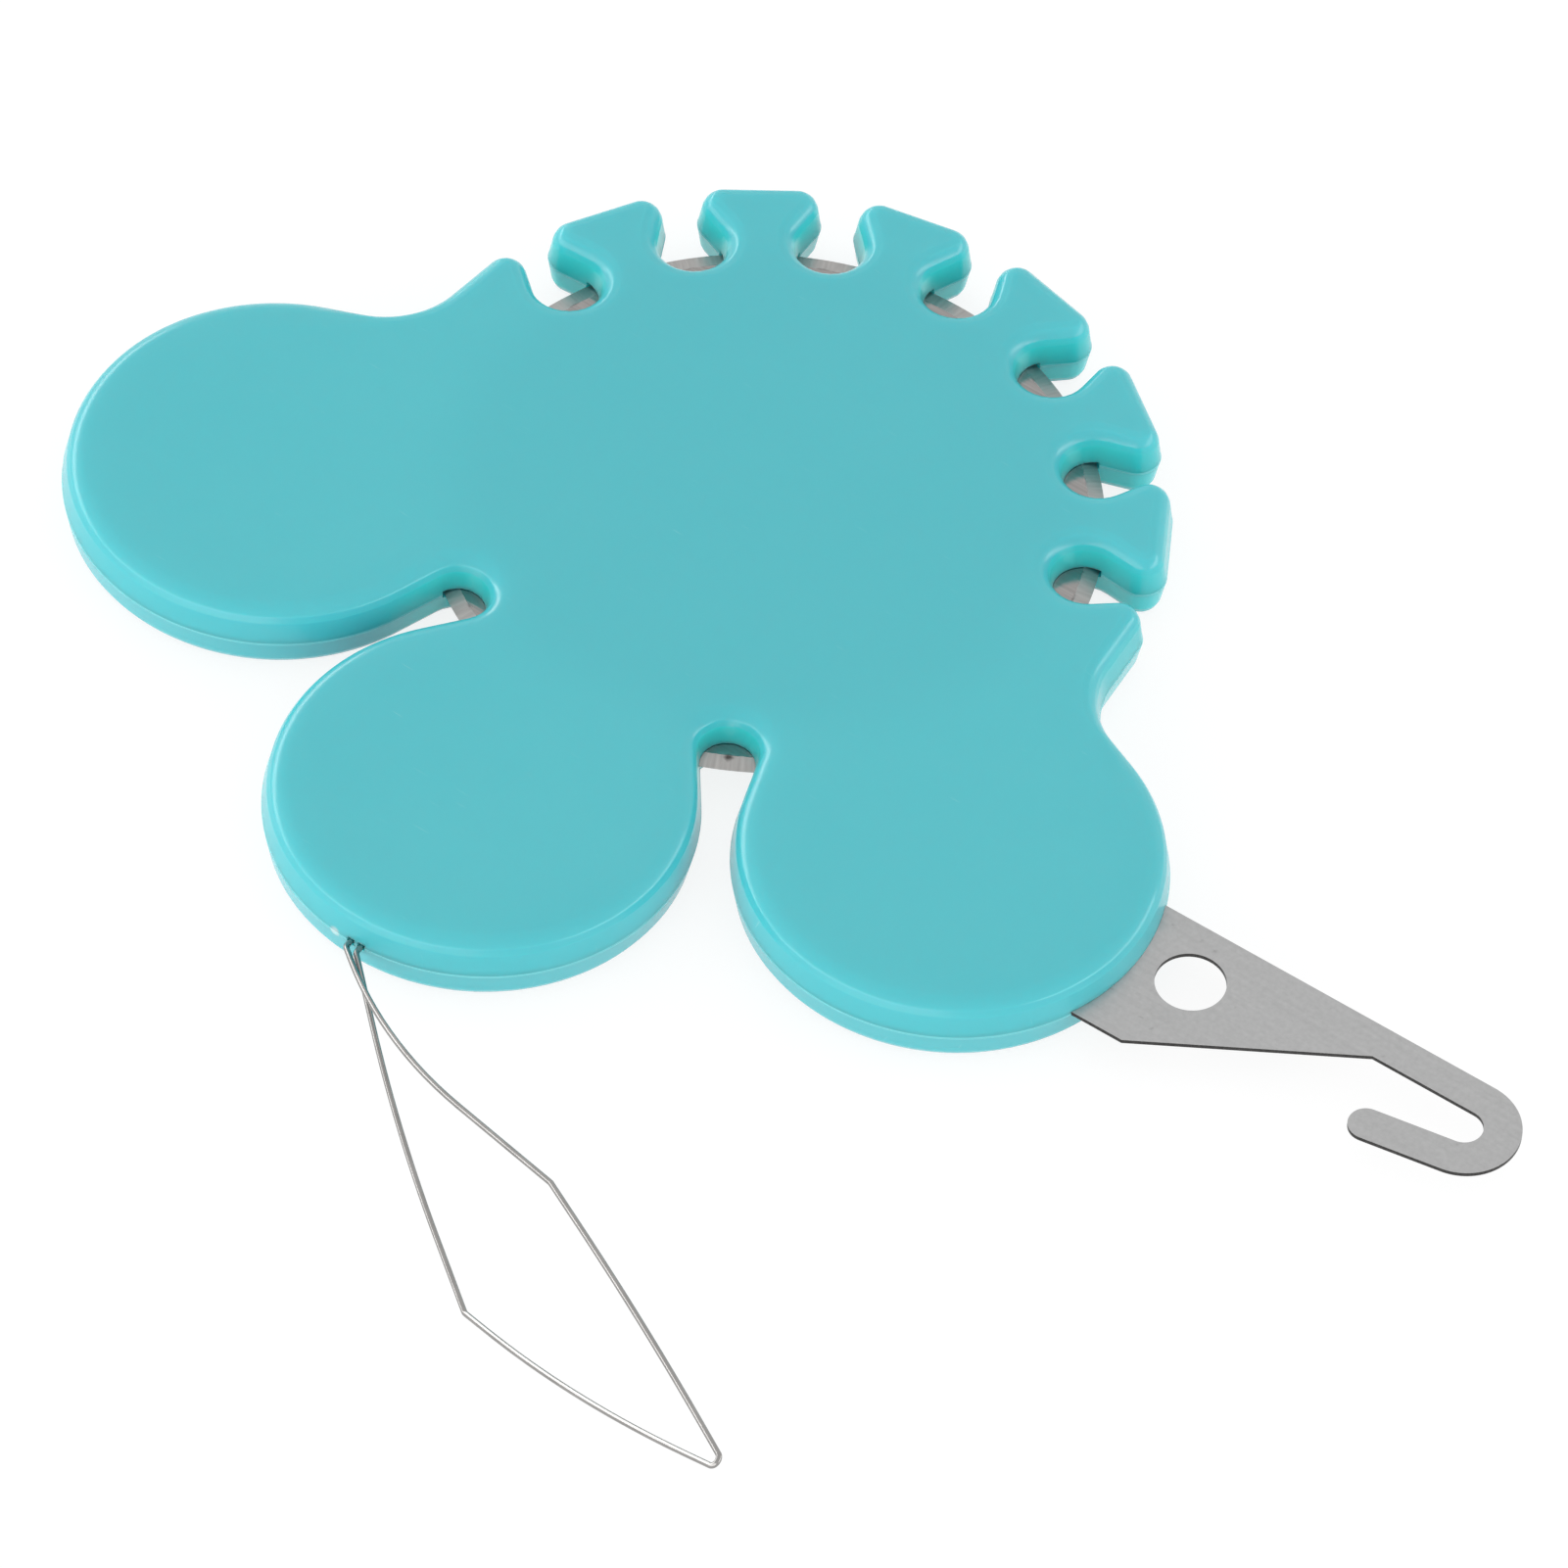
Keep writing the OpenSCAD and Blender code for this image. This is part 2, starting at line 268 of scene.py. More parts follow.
@dataclass
class MouldedOutline:
    """Outline of the body in plan: a belt of tangent arcs round lobes, hollows and teeth."""

    blade_r: float = 14.0
    lobe_r: float = 8.85
    lobe_gap: float = 1.3
    side_lobe_reach: float = 20.0
    foot_lobe_reach: float = 19.75
    notch_count: int = 7
    crown_span_deg: float = 144.4
    notch_r: float = 1.3
    notch_mouth: float = 1.4
    blade_show: float = 1.6
    tooth_guard: float = 2.7
    tooth_corner_r: float = 1.05
    neck_r: float = 3.6
    neck_slack: float = 0.03
    gap_notch_r: float = 1.1
    gap_notch_lead: float = 0.2
    wide_room: float = 40.0
    notch_room: float = 1.1
    tooth_room: float = 1.0
    arc_share: float = 0.45
    spacing: float = 0.19

    @staticmethod
    def polar(reach: float, angle: float) -> Vector:
        """Gives the place at a reach from the blade's axis, at an angle from +Y towards +X."""
        return Vector((reach * math.sin(angle), reach * math.cos(angle), 0.0))

    @staticmethod
    def flipped(place: Vector) -> Vector:
        """Mirrors a place in the body's middle plane."""
        return Vector((-place.x, place.y, place.z))

    @property
    def notch_pitch(self) -> float:
        """Angle from one notch of the crown to the next."""
        return math.radians(self.crown_span_deg) / (self.notch_count - 1)

    @property
    def tooth_reach(self) -> float:
        """Distance of the teeth's tips from the blade's axis."""
        return self.blade_r + self.tooth_guard

    @property
    def foot_lobe(self) -> Vector:
        """Centre of the lobe at the foot."""
        return Vector((0.0, -self.foot_lobe_reach, 0.0))

    @property
    def right_lobe(self) -> Vector:
        """Centre of the lobe that holds the hook."""
        side, foot = self.side_lobe_reach, self.foot_lobe_reach
        spacing = 2 * self.lobe_r + self.lobe_gap
        turn = math.acos((side**2 + foot**2 - spacing**2) / (2 * side * foot))
        return self.polar(side, math.pi - turn)

    @property
    def right_gap_notch(self) -> Vector:
        """Centre of the notch between the foot's lobe and the right one."""
        room = self.lobe_r + self.gap_notch_r + self.gap_notch_lead
        way = self.right_lobe - self.foot_lobe
        middle = (self.foot_lobe + self.right_lobe) / 2
        aside = UP.cross(way).normalized()
        return middle + aside * math.sqrt(room**2 - (way.length / 2) ** 2)

    @property
    def right_neck(self) -> Vector:
        """Centre of the hollow that touches the last tooth's tip and the right lobe."""
        normal = self.polar(1.0, (self.notch_count / 2) * self.notch_pitch)
        along = Vector((normal.y, -normal.x, 0.0))
        base = normal * (self.tooth_reach + self.neck_r)
        way = base - self.right_lobe
        reach = self.lobe_r + self.neck_r + self.neck_slack
        shift = -way.dot(along) - math.sqrt(way.dot(along) ** 2 - way.length_squared + reach**2)
        return base + along * shift

    def tooth_corner(self, notch: float, side: int) -> Vector:
        """Finds the centre of the round corner of a tooth.

        Args:
            notch: Number of the notch beside the tooth, 0 at the crown's middle.
            side: 1 for the tooth clockwise of the notch, -1 for the other one.

        Returns:
            Centre of the corner.
        """
        half, angle = self.notch_pitch / 2, notch * self.notch_pitch
        aside = self.notch_mouth / 2 + self.tooth_corner_r
        up = (self.tooth_reach - self.tooth_corner_r - aside * math.sin(half)) / math.cos(half)
        across = Vector((math.cos(angle), -math.sin(angle), 0.0))
        return self.polar(up, angle) + across * side * aside

    def discs(self) -> list[Disc]:
        """Lists the discs that the outline runs round, counter-clockwise."""
        last = (self.notch_count - 1) / 2
        notch_reach = self.blade_r - self.blade_show + self.notch_r
        crown = []
        for i in range(self.notch_count):
            notch = last - i
            floor = self.polar(notch_reach, notch * self.notch_pitch)
            crown.append(Disc(self.tooth_corner(notch, 1), self.tooth_corner_r, self.tooth_room))
            crown.append(Disc(floor, -self.notch_r, self.notch_room))
            crown.append(Disc(self.tooth_corner(notch, -1), self.tooth_corner_r, self.tooth_room))
        return [
            Disc(self.right_lobe, self.lobe_r, self.wide_room),
            Disc(self.right_neck, -self.neck_r, self.tooth_room),
            *crown,
            Disc(self.flipped(self.right_neck), -self.neck_r, self.tooth_room),
            Disc(self.flipped(self.right_lobe), self.lobe_r, self.wide_room),
            Disc(self.flipped(self.right_gap_notch), -self.gap_notch_r, self.wide_room),
            Disc(self.foot_lobe, self.lobe_r, self.wide_room),
            Disc(self.right_gap_notch, -self.gap_notch_r, self.wide_room),
        ]

    def ring(self, inset: float, height: float) -> bmesh.types.BMesh:
        """Draws the outline as a closed loop with the same number of edges at any inset.

        Args:
            inset: Distance of the loop inwards from the outline.
            height: Height of the loop.

        Returns:
            A bmesh of the loop alone, because spins are slow in a full one.
        """
        bm = bmesh.new()
        discs = self.discs()
        inner = [disc.drawn_in(inset) for disc in discs]
        normals = [run_normal(a, b) for a, b in zip(inner, inner[1:] + inner[:1])]
        runs = []
        for i, (disc, whole) in enumerate(zip(inner, discs)):
            begin, end = normals[i - 1], normals[i]
            sweep = (end - begin) % math.tau if disc.radius > 0 else -((begin - end) % math.tau)
            steps = math.ceil(self.arc_share * math.tau * abs(whole.radius) / self.spacing)
            centre = disc.centre + UP * height
            spoke = Vector((math.cos(begin), math.sin(begin), 0.0)) * disc.radius
            runs.append(arc_of_vertices(bm, centre + spoke, centre, sweep, steps))
        join_runs(bm, runs)
        return bm


@dataclass(frozen=True)
class MouldedPolypropylene:
    """Pigmented polypropylene, injection moulded in a polished tool.

    It is smooth and softly glossy, a little milky, so that light spreads inside it and lifts its
    edges, and steel just under the surface greys it slightly. The walls of the notches also carry a
    painted glow, brighter below the parting plane, and the parting line is painted pale, partly as
    real flash and partly as a painted highlight.
    """

    pigment: str = "#4fbdc6"
    pale_pigment: str = "#55c0c8"
    over_steel: str = "#4eb8c1"
    # Painted glow of the notch walls, stronger below the parting plane; it stands in for light, not pigment
    painted_wall_glow: str = "#48d2d2"
    painted_lower_wall_glow: str = "#38ecec"
    # Parting line colour: real pale flash, brightened further as a painted highlight
    parting_flash_and_highlight: str = "#8ee4e8"
    flash: str = "#c2e4e4"
    scuffed: str = "#86d0d4"
    ior: float = 1.49
    gloss_roughness: float = 0.18
    dull_roughness: float = 0.25
    light_path_mm: float = 0.8
    light_spread: tuple[float, float, float] = (0.3, 1.0, 0.95)
    cloud_mm: float = 7.0
    wave_mm: float = 5.0
    wave_depth_mm: float = 0.012
    grain_mm: float = 0.3
    grain_depth_mm: float = 0.0012
    scuff_length_mm: float = 1.6
    scuff_width_mm: float = 0.09
    scuff_turn_deg: float = 35.0
    scuff_range: tuple[float, float] = (0.76, 0.84)
    scuff_share: float = 0.35
    steel_reach_mm: float = 13.0
    steel_share: float = 0.5
    notch_reach_mm: float = 16.0
    reach_blur_mm: float = 2.0
    wall_normal_range: tuple[float, float] = (0.6, 0.2)
    flash_mm: float = 0.32
    flash_share: float = 0.75
    parting_height_mm: float = 1.7
    parting_line_mm: float = 0.05
    line_share: float = 0.5
    foot_fade_mm: float = 0.3
    flash_places_mm: tuple[tuple[float, float, float], ...] = (
        (-0.85, -28.58, 1.7),
        (-24.3, -15.55, 1.6),
    )

    def material(self) -> bpy.types.Material:
        """Builds the material.

        Returns:
            The material, on Object coordinates.
        """
        material, tree = new_material("moulded_polypropylene")
        coordinates = add_node(tree, "ShaderNodeTexCoord").outputs
        place = coordinates["Object"]
        cloud = add_node(
            tree,
            "ShaderNodeTexNoise",
            inputs={"Vector": place, "Scale": per_metre(self.cloud_mm), "Detail": 3.0},
        )
        pigment = add_node(
            tree,
            "ShaderNodeMix",
            COLOUR_MIX,
            {0: cloud, 6: linear(self.pigment), 7: linear(self.pale_pigment)},
        )
        # Grey of the round blade that shows faintly through the plastic
        flat = add_node(tree, "ShaderNodeVectorMath", PRODUCT, {0: place, 1: PLAN})
        reach = add_node(tree, "ShaderNodeVectorMath", {"operation": "LENGTH"}, {0: flat})
        steel = add_node(
            tree,
            "ShaderNodeMapRange",
            SMOOTH,
            {"Value": reach, **within(self.steel_reach_mm, self.reach_blur_mm), "To Max": self.steel_share},
        )
        greyed = add_node(
            tree, "ShaderNodeMix", COLOUR_MIX, {0: steel, 6: pigment, 7: linear(self.over_steel)}
        )
        # Painted glow: the walls of the notches are painted brighter and more saturated, standing in for
        # light that has crossed the plastic, and brighter still below the parting plane, for floor light
        facing = add_node(tree, "ShaderNodeSeparateXYZ", inputs={0: coordinates["Normal"]})
        level = add_node(tree, "ShaderNodeMath", {"operation": "ABSOLUTE"}, {0: facing.outputs["Z"]})
        upright = add_node(
            tree, "ShaderNodeMapRange", SMOOTH, {"Value": level, **limits(*self.wall_normal_range)}
        )
        in_notch = add_node(
            tree,
            "ShaderNodeMapRange",
            SMOOTH,
            {"Value": reach, **within(self.notch_reach_mm, self.reach_blur_mm)},
        )
        painted_glow_mask = add_node(tree, "ShaderNodeMath", PRODUCT, {0: upright, 1: in_notch})
        height = add_node(tree, "ShaderNodeSeparateXYZ", inputs={0: place})
        below = add_node(
            tree,
            "ShaderNodeMapRange",
            SMOOTH,
            {"Value": height.outputs["Z"], **within(self.parting_height_mm, self.foot_fade_mm)},
        )
        glow = add_node(
            tree,
            "ShaderNodeMix",
            COLOUR_MIX,
            {0: below, 6: linear(self.painted_wall_glow), 7: linear(self.painted_lower_wall_glow)},
        )
        with_painted_glow = add_node(tree, "ShaderNodeMix", COLOUR_MIX, {0: painted_glow_mask, 6: greyed, 7: glow})
        # A few short pale scuffs from use
        strokes = add_node(
            tree,
            "ShaderNodeMapping",
            inputs={
                "Vector": place,
                "Rotation": (0.0, 0.0, math.radians(self.scuff_turn_deg)),
                "Scale": (
                    per_metre(self.scuff_length_mm),
                    per_metre(self.scuff_width_mm),
                    per_metre(self.scuff_length_mm),
                ),
            },
        )
        stroke = add_node(
            tree, "ShaderNodeTexNoise", inputs={"Vector": strokes, "Scale": 1.0, "Detail": 1.0}
        )
        scuff = add_node(
            tree,
            "ShaderNodeMapRange",
            inputs={"Value": stroke, **limits(*self.scuff_range), "To Max": self.scuff_share},
        )
        colour = add_node(
            tree, "ShaderNodeMix", COLOUR_MIX, {0: scuff, 6: with_painted_glow, 7: linear(self.scuffed)}
        )
        # Pale flash along the parting line, painted brighter than flash alone as a painted highlight where
        # the seam catches light, and whitened remains of flash at two places
        at_line = add_node(
            tree,
            "ShaderNodeMath",
            {"operation": "COMPARE"},
            {0: height.outputs["Z"], 1: self.parting_height_mm * MM, 2: self.parting_line_mm * MM},
        )
        on_line = add_node(tree, "ShaderNodeMath", PRODUCT, {0: at_line, 1: upright})
        line = add_node(tree, "ShaderNodeMath", PRODUCT, {0: on_line, 1: self.line_share})
        lined = add_node(
            tree, "ShaderNodeMix", COLOUR_MIX, {0: line, 6: colour, 7: linear(self.parting_flash_and_highlight)}
        )
        # Flash is too thin to spread the light inside it
        spread = add_node(tree, "ShaderNodeMath", {"operation": "SUBTRACT"}, {0: 1.0, 1: on_line})
        shade = lined
        for spot in self.flash_places_mm:
            away = add_node(
                tree, "ShaderNodeVectorMath", {"operation": "DISTANCE"}, {0: place, 1: Vector(spot) * MM}
            )
            near = add_node(
                tree,
                "ShaderNodeMapRange",
                SMOOTH,
                {
                    "Value": away,
                    "From Min": self.flash_mm * MM,
                    "From Max": self.flash_mm * MM / 3,
                    "To Max": self.flash_share,
                },
            )
            whitened = add_node(
                tree, "ShaderNodeMix", COLOUR_MIX, {0: near, 6: shade, 7: linear(self.flash)}
            )
            shade = whitened
        roughness = add_node(
            tree,
            "ShaderNodeMapRange",
            inputs={
                "Value": cloud, **NOISE_RANGE, "To Min": self.gloss_roughness, "To Max": self.dull_roughness,
            },
        )
        wave = add_node(
            tree,
            "ShaderNodeTexNoise",
            inputs={"Vector": place, "Scale": per_metre(self.wave_mm), "Detail": 1.0},
        )
        sink = add_node(
            tree, "ShaderNodeBump", inputs={"Height": wave, "Distance": self.wave_depth_mm * MM}
        )
        grain = add_node(
            tree,
            "ShaderNodeTexNoise",
            inputs={"Vector": place, "Scale": per_metre(self.grain_mm), "Detail": 3.0},
        )
        skin = add_node(
            tree,
            "ShaderNodeBump",
            inputs={"Height": grain, "Distance": self.grain_depth_mm * MM, "Normal": sink},
        )
        shader = add_node(
            tree,
            "ShaderNodeBsdfPrincipled",
            {"subsurface_method": "RANDOM_WALK"},
            {
                "Base Color": shade,
                "Roughness": roughness,
                "IOR": self.ior,
                "Subsurface Weight": spread,
                "Subsurface Radius": self.light_spread,
                "Subsurface Scale": self.light_path_mm * MM,
                "Normal": skin,
            },
        )
        add_node(tree, "ShaderNodeOutputMaterial", inputs={"Surface": shader})
        return material


@dataclass(frozen=True)
class GroundBladeSteel:
    """Hardened carbon steel: a finely brushed face, and a bevel ground square to the edge.

    The face mirrors the plastic beside it. The bevel is paler, with fine grinding lines that run
    out to the edge, and starts at a slightly ragged line.
    """

    face: str = "#9d9a98"
    bevel: str = "#aeaba9"
    stain: str = "#3f3c3a"
    face_roughness: float = 0.15
    bevel_roughness: float = 0.34
    grind_mm: float = 0.14
    grind_length_mm: float = 1.5
    groove_mm: float = 0.004
    groove_strength: float = 0.8
    brush_mm: float = 0.12
    brush_length_mm: float = 5.0
    mark_shades: tuple[float, float] = (0.82, 1.06)
    ragged_mm: float = 0.14
    rag_mm: float = 0.35
    line_mm: float = 0.02
    bevel_start_mm: float = 13.35
    blot_mm: float = 0.9
    blot_range: tuple[float, float] = (0.52, 0.68)
    blot_share: float = 0.85
    nick_mm: float = 0.3
    nick_range: tuple[float, float] = (1.3, 0.8)
    nick_share: float = 0.9
    nick_place_mm: tuple[float, float, float] = (6.5, -11.76, 1.85)

    def material(self) -> bpy.types.Material:
        """Builds the material.

        Returns:
            The material, on Object coordinates about the blade's axis.
        """
        material, tree = new_material("ground_blade_steel")
        place = add_node(tree, "ShaderNodeTexCoord").outputs["Object"]
        axes = add_node(tree, "ShaderNodeSeparateXYZ", inputs={0: place})
        flat = add_node(tree, "ShaderNodeVectorMath", PRODUCT, {0: place, 1: PLAN})
        reach = add_node(tree, "ShaderNodeVectorMath", {"operation": "LENGTH"}, {0: flat})
        turn = add_node(
            tree, "ShaderNodeMath", {"operation": "ARCTAN2"}, {0: axes.outputs["Y"], 1: axes.outputs["X"]}
        )
        # Grinding lines of the bevel: narrow round the edge, long across it
        lines_per_radian = self.bevel_start_mm / self.grind_mm
        round_way = add_node(tree, "ShaderNodeMath", PRODUCT, {0: turn, 1: lines_per_radian})
        out_way = add_node(tree, "ShaderNodeMath", PRODUCT, {0: reach, 1: per_metre(self.grind_length_mm)})
        polar = add_node(tree, "ShaderNodeCombineXYZ", inputs={"X": round_way, "Y": out_way})
        grind = add_node(tree, "ShaderNodeTexNoise", inputs={"Vector": polar, "Scale": 1.0, "Detail": 3.0})
        # Brushing of the face, along X
        stretched = add_node(
            tree,
            "ShaderNodeMapping",
            inputs={
                "Vector": place, "Scale": (per_metre(self.brush_length_mm), per_metre(self.brush_mm), 1.0),
            },
        )
        brush = add_node(
            tree, "ShaderNodeTexNoise", inputs={"Vector": stretched, "Scale": 1.0, "Detail": 3.0}
        )
        # Ragged line where the bevel starts
        rag = add_node(
            tree,
            "ShaderNodeTexNoise",
            inputs={"Vector": place, "Scale": per_metre(self.rag_mm), "Detail": 2.0},
        )
        ragged = add_node(
            tree,
            "ShaderNodeMath",
            {"operation": "MULTIPLY_ADD"},
            {0: rag, 1: self.ragged_mm * MM, 2: reach},
        )
        middle = self.bevel_start_mm + self.ragged_mm / 2
        on_bevel = add_node(
            tree,
            "ShaderNodeMapRange",
            inputs={"Value": ragged, **limits((middle - self.line_mm) * MM, (middle + self.line_mm) * MM)},
        )
        marks = add_node(tree, "ShaderNodeMix", NUMBER_MIX, {0: on_bevel, 2: brush, 3: grind})
        zones = add_node(
            tree, "ShaderNodeMix", COLOUR_MIX, {0: on_bevel, 6: linear(self.face), 7: linear(self.bevel)}
        )
        shade = add_node(
            tree,
            "ShaderNodeMapRange",
            inputs={
                "Value": marks, **NOISE_RANGE, "To Min": self.mark_shades[0], "To Max": self.mark_shades[1],
            },
        )
        shaded = add_node(tree, "ShaderNodeVectorMath", {"operation": "SCALE"}, {0: zones, "Scale": shade})
        # Stains that gather in the corner of the bevel
        near_line = add_node(
            tree,
            "ShaderNodeMapRange",
            inputs={
                "Value": ragged, **limits((middle - 3 * self.line_mm) * MM, (middle + self.line_mm) * MM),
            },
        )
        past_line = add_node(
            tree,
            "ShaderNodeMapRange",
            inputs={
                "Value": ragged, **limits((middle + 4 * self.line_mm) * MM, (middle + self.line_mm) * MM),
            },
        )
        blot = add_node(
            tree,
            "ShaderNodeTexNoise",
            inputs={"Vector": place, "Scale": per_metre(self.blot_mm), "Detail": 3.0},
        )
        blots = add_node(
            tree,
            "ShaderNodeMapRange",
            inputs={"Value": blot, **limits(*self.blot_range), "To Max": self.blot_share},
        )
        band = add_node(tree, "ShaderNodeMath", PRODUCT, {0: near_line, 1: past_line})
        stained = add_node(tree, "ShaderNodeMath", PRODUCT, {0: band, 1: blots})
        away = add_node(
            tree,
            "ShaderNodeVectorMath",
            {"operation": "DISTANCE"},
            {0: place, 1: Vector(self.nick_place_mm) * MM},
        )
        blurred = add_node(
            tree, "ShaderNodeMath", {"operation": "MULTIPLY_ADD"}, {0: rag, 1: self.nick_mm * MM, 2: away}
        )
        nick = add_node(
            tree,
            "ShaderNodeMapRange",
            inputs={
                "Value": blurred,
                "From Min": self.nick_range[0] * self.nick_mm * MM,
                "From Max": self.nick_range[1] * self.nick_mm * MM,
                "To Max": self.nick_share,
            },
        )
        marked = add_node(tree, "ShaderNodeMath", {"operation": "MAXIMUM"}, {0: stained, 1: nick})
        colour = add_node(tree, "ShaderNodeMix", COLOUR_MIX, {0: marked, 6: shaded, 7: linear(self.stain)})
        roughness = add_node(
            tree,
            "ShaderNodeMix",
            NUMBER_MIX,
            {0: on_bevel, 2: self.face_roughness, 3: self.bevel_roughness},
        )
        bump = add_node(
            tree,
            "ShaderNodeBump",
            inputs={"Height": marks, "Distance": self.groove_mm * MM, "Strength": self.groove_strength},
        )
        shader = add_node(
            tree,
            "ShaderNodeBsdfPrincipled",
            inputs={"Base Color": colour, "Metallic": 1.0, "Roughness": roughness, "Normal": bump},
        )
        add_node(tree, "ShaderNodeOutputMaterial", inputs={"Surface": shader})
        return material


@dataclass(frozen=True)
class RolledSteel:
    """Cold-rolled stainless sheet with a fine matt grain, which looks an even light grey."""

    face: str = "#b1b1b1"
    speck: str = "#8a8988"
    roughness: float = 0.36
    grain_mm: float = 0.22
    grain_depth_mm: float = 0.003
    roll_mm: float = 0.2
    roll_length_mm: float = 6.0
    roll_share: float = 0.35
    mark_shades: tuple[float, float] = (0.9, 1.06)
    speck_mm: float = 0.55
    speck_range: tuple[float, float] = (0.7, 0.8)
    speck_share: float = 0.6

    def material(self) -> bpy.types.Material:
        """Builds the material.

        Returns:
            The material, on Object coordinates.
        """
        material, tree = new_material("rolled_stainless_sheet")
        place = add_node(tree, "ShaderNodeTexCoord").outputs["Object"]
        grain = add_node(
            tree,
            "ShaderNodeTexNoise",
            inputs={"Vector": place, "Scale": per_metre(self.grain_mm), "Detail": 4.0, "Roughness": 0.6},
        )
        rolled = add_node(
            tree,
            "ShaderNodeMapping",
            inputs={
                "Vector": place,
                "Scale": (per_metre(self.roll_length_mm), per_metre(self.roll_mm), per_metre(self.roll_mm)),
            },
        )
        lines = add_node(tree, "ShaderNodeTexNoise", inputs={"Vector": rolled, "Scale": 1.0, "Detail": 2.0})
        marks = add_node(tree, "ShaderNodeMix", NUMBER_MIX, {0: self.roll_share, 2: grain, 3: lines})
        shade = add_node(
            tree,
            "ShaderNodeMapRange",
            inputs={
                "Value": marks, **NOISE_RANGE, "To Min": self.mark_shades[0], "To Max": self.mark_shades[1],
            },
        )
        shaded = add_node(
            tree, "ShaderNodeVectorMath", {"operation": "SCALE"}, {0: linear(self.face)[:3], "Scale": shade}
        )
        pits = add_node(
            tree,
            "ShaderNodeTexNoise",
            inputs={"Vector": place, "Scale": per_metre(self.speck_mm), "Detail": 2.0},
        )
        speck = add_node(
            tree,
            "ShaderNodeMapRange",
            inputs={"Value": pits, **limits(*self.speck_range), "To Max": self.speck_share},
        )
        colour = add_node(tree, "ShaderNodeMix", COLOUR_MIX, {0: speck, 6: shaded, 7: linear(self.speck)})
        bump = add_node(
            tree, "ShaderNodeBump", inputs={"Height": marks, "Distance": self.grain_depth_mm * MM}
        )
        shader = add_node(
            tree,
            "ShaderNodeBsdfPrincipled",
            inputs={"Base Color": colour, "Metallic": 1.0, "Roughness": self.roughness, "Normal": bump},
        )
        add_node(tree, "ShaderNodeOutputMaterial", inputs={"Surface": shader})
        return material


@dataclass(frozen=True)
class ShearedSteel:
    """Stamped edge of the sheet: rough and dark where the metal tore, with upright drag lines."""

    torn: str = "#2e2d2d"
    bright: str = "#555453"
    roughness: float = 0.45
    drag_mm: float = 0.12

    def material(self) -> bpy.types.Material:
        """Builds the material.

        Returns:
            The material, on Object coordinates.
        """
        material, tree = new_material("sheared_steel_edge")
        place = add_node(tree, "ShaderNodeTexCoord").outputs["Object"]
        upright = add_node(tree, "ShaderNodeVectorMath", PRODUCT, {0: place, 1: PLAN})
        drag = add_node(
            tree,
            "ShaderNodeTexNoise",
            inputs={"Vector": upright, "Scale": per_metre(self.drag_mm), "Detail": 2.0},
        )
        colour = add_node(
            tree, "ShaderNodeMix", COLOUR_MIX, {0: drag, 6: linear(self.torn), 7: linear(self.bright)}
        )
        shader = add_node(
            tree,
            "ShaderNodeBsdfPrincipled",
            inputs={"Base Color": colour, "Metallic": 1.0, "Roughness": self.roughness},
        )
        add_node(tree, "ShaderNodeOutputMaterial", inputs={"Surface": shader})
        return material


@dataclass(frozen=True)
class DrawnWire:
    """Drawn stainless spring wire: a smooth grey gloss with faint patches from handling."""

    bright: str = "#a9a7a5"
    dull: str = "#858381"
    roughness: float = 0.22
    patch_mm: float = 1.4

    def material(self) -> bpy.types.Material:
        """Builds the material.

        Returns:
            The material, on Object coordinates.
        """
        material, tree = new_material("drawn_spring_wire")
        place = add_node(tree, "ShaderNodeTexCoord").outputs["Object"]
        patch = add_node(
            tree,
            "ShaderNodeTexNoise",
            inputs={"Vector": place, "Scale": per_metre(self.patch_mm), "Detail": 3.0},
        )
        colour = add_node(
            tree, "ShaderNodeMix", COLOUR_MIX, {0: patch, 6: linear(self.dull), 7: linear(self.bright)}
        )
        shader = add_node(
            tree,
            "ShaderNodeBsdfPrincipled",
            inputs={"Base Color": colour, "Metallic": 1.0, "Roughness": self.roughness},
        )
        add_node(tree, "ShaderNodeOutputMaterial", inputs={"Surface": shader})
        return material


def spun_ring(bm: bmesh.types.BMesh, section: list[tuple[float, float]], steps: int) -> None:
    """Spins a closed section, given as reach and height, to a ring about the blade's axis.

    Args:
        bm: The bmesh that takes the ring.
        section: Corners of the section, in order.
        steps: Number of faces round the ring.
    """
    corners = [bmesh.ops.create_vert(bm, co=(reach, 0.0, z))["vert"][0] for reach, z in section]
    edges = [bm.edges.new(pair) for pair in zip(corners, corners[1:] + corners[:1])]
    bmesh.ops.spin(
        bm,
        geom=corners + edges,
        cent=(0.0, 0.0, 0.0),
        axis=UP,
        angle=math.tau,
        steps=steps,
        use_merge=True,
    )


def box(bm: bmesh.types.BMesh, low: Vector, high: Vector) -> None:
    """Adds a box between two corners.

    Args:
        bm: The bmesh that takes the box.
        low: Lowest corner.
        high: Highest corner.
    """
    size = Matrix.Diagonal((high - low).to_4d())
    middle = Matrix.Translation((low + high) / 2)
    bmesh.ops.create_cube(bm, size=1.0, matrix=middle @ size)


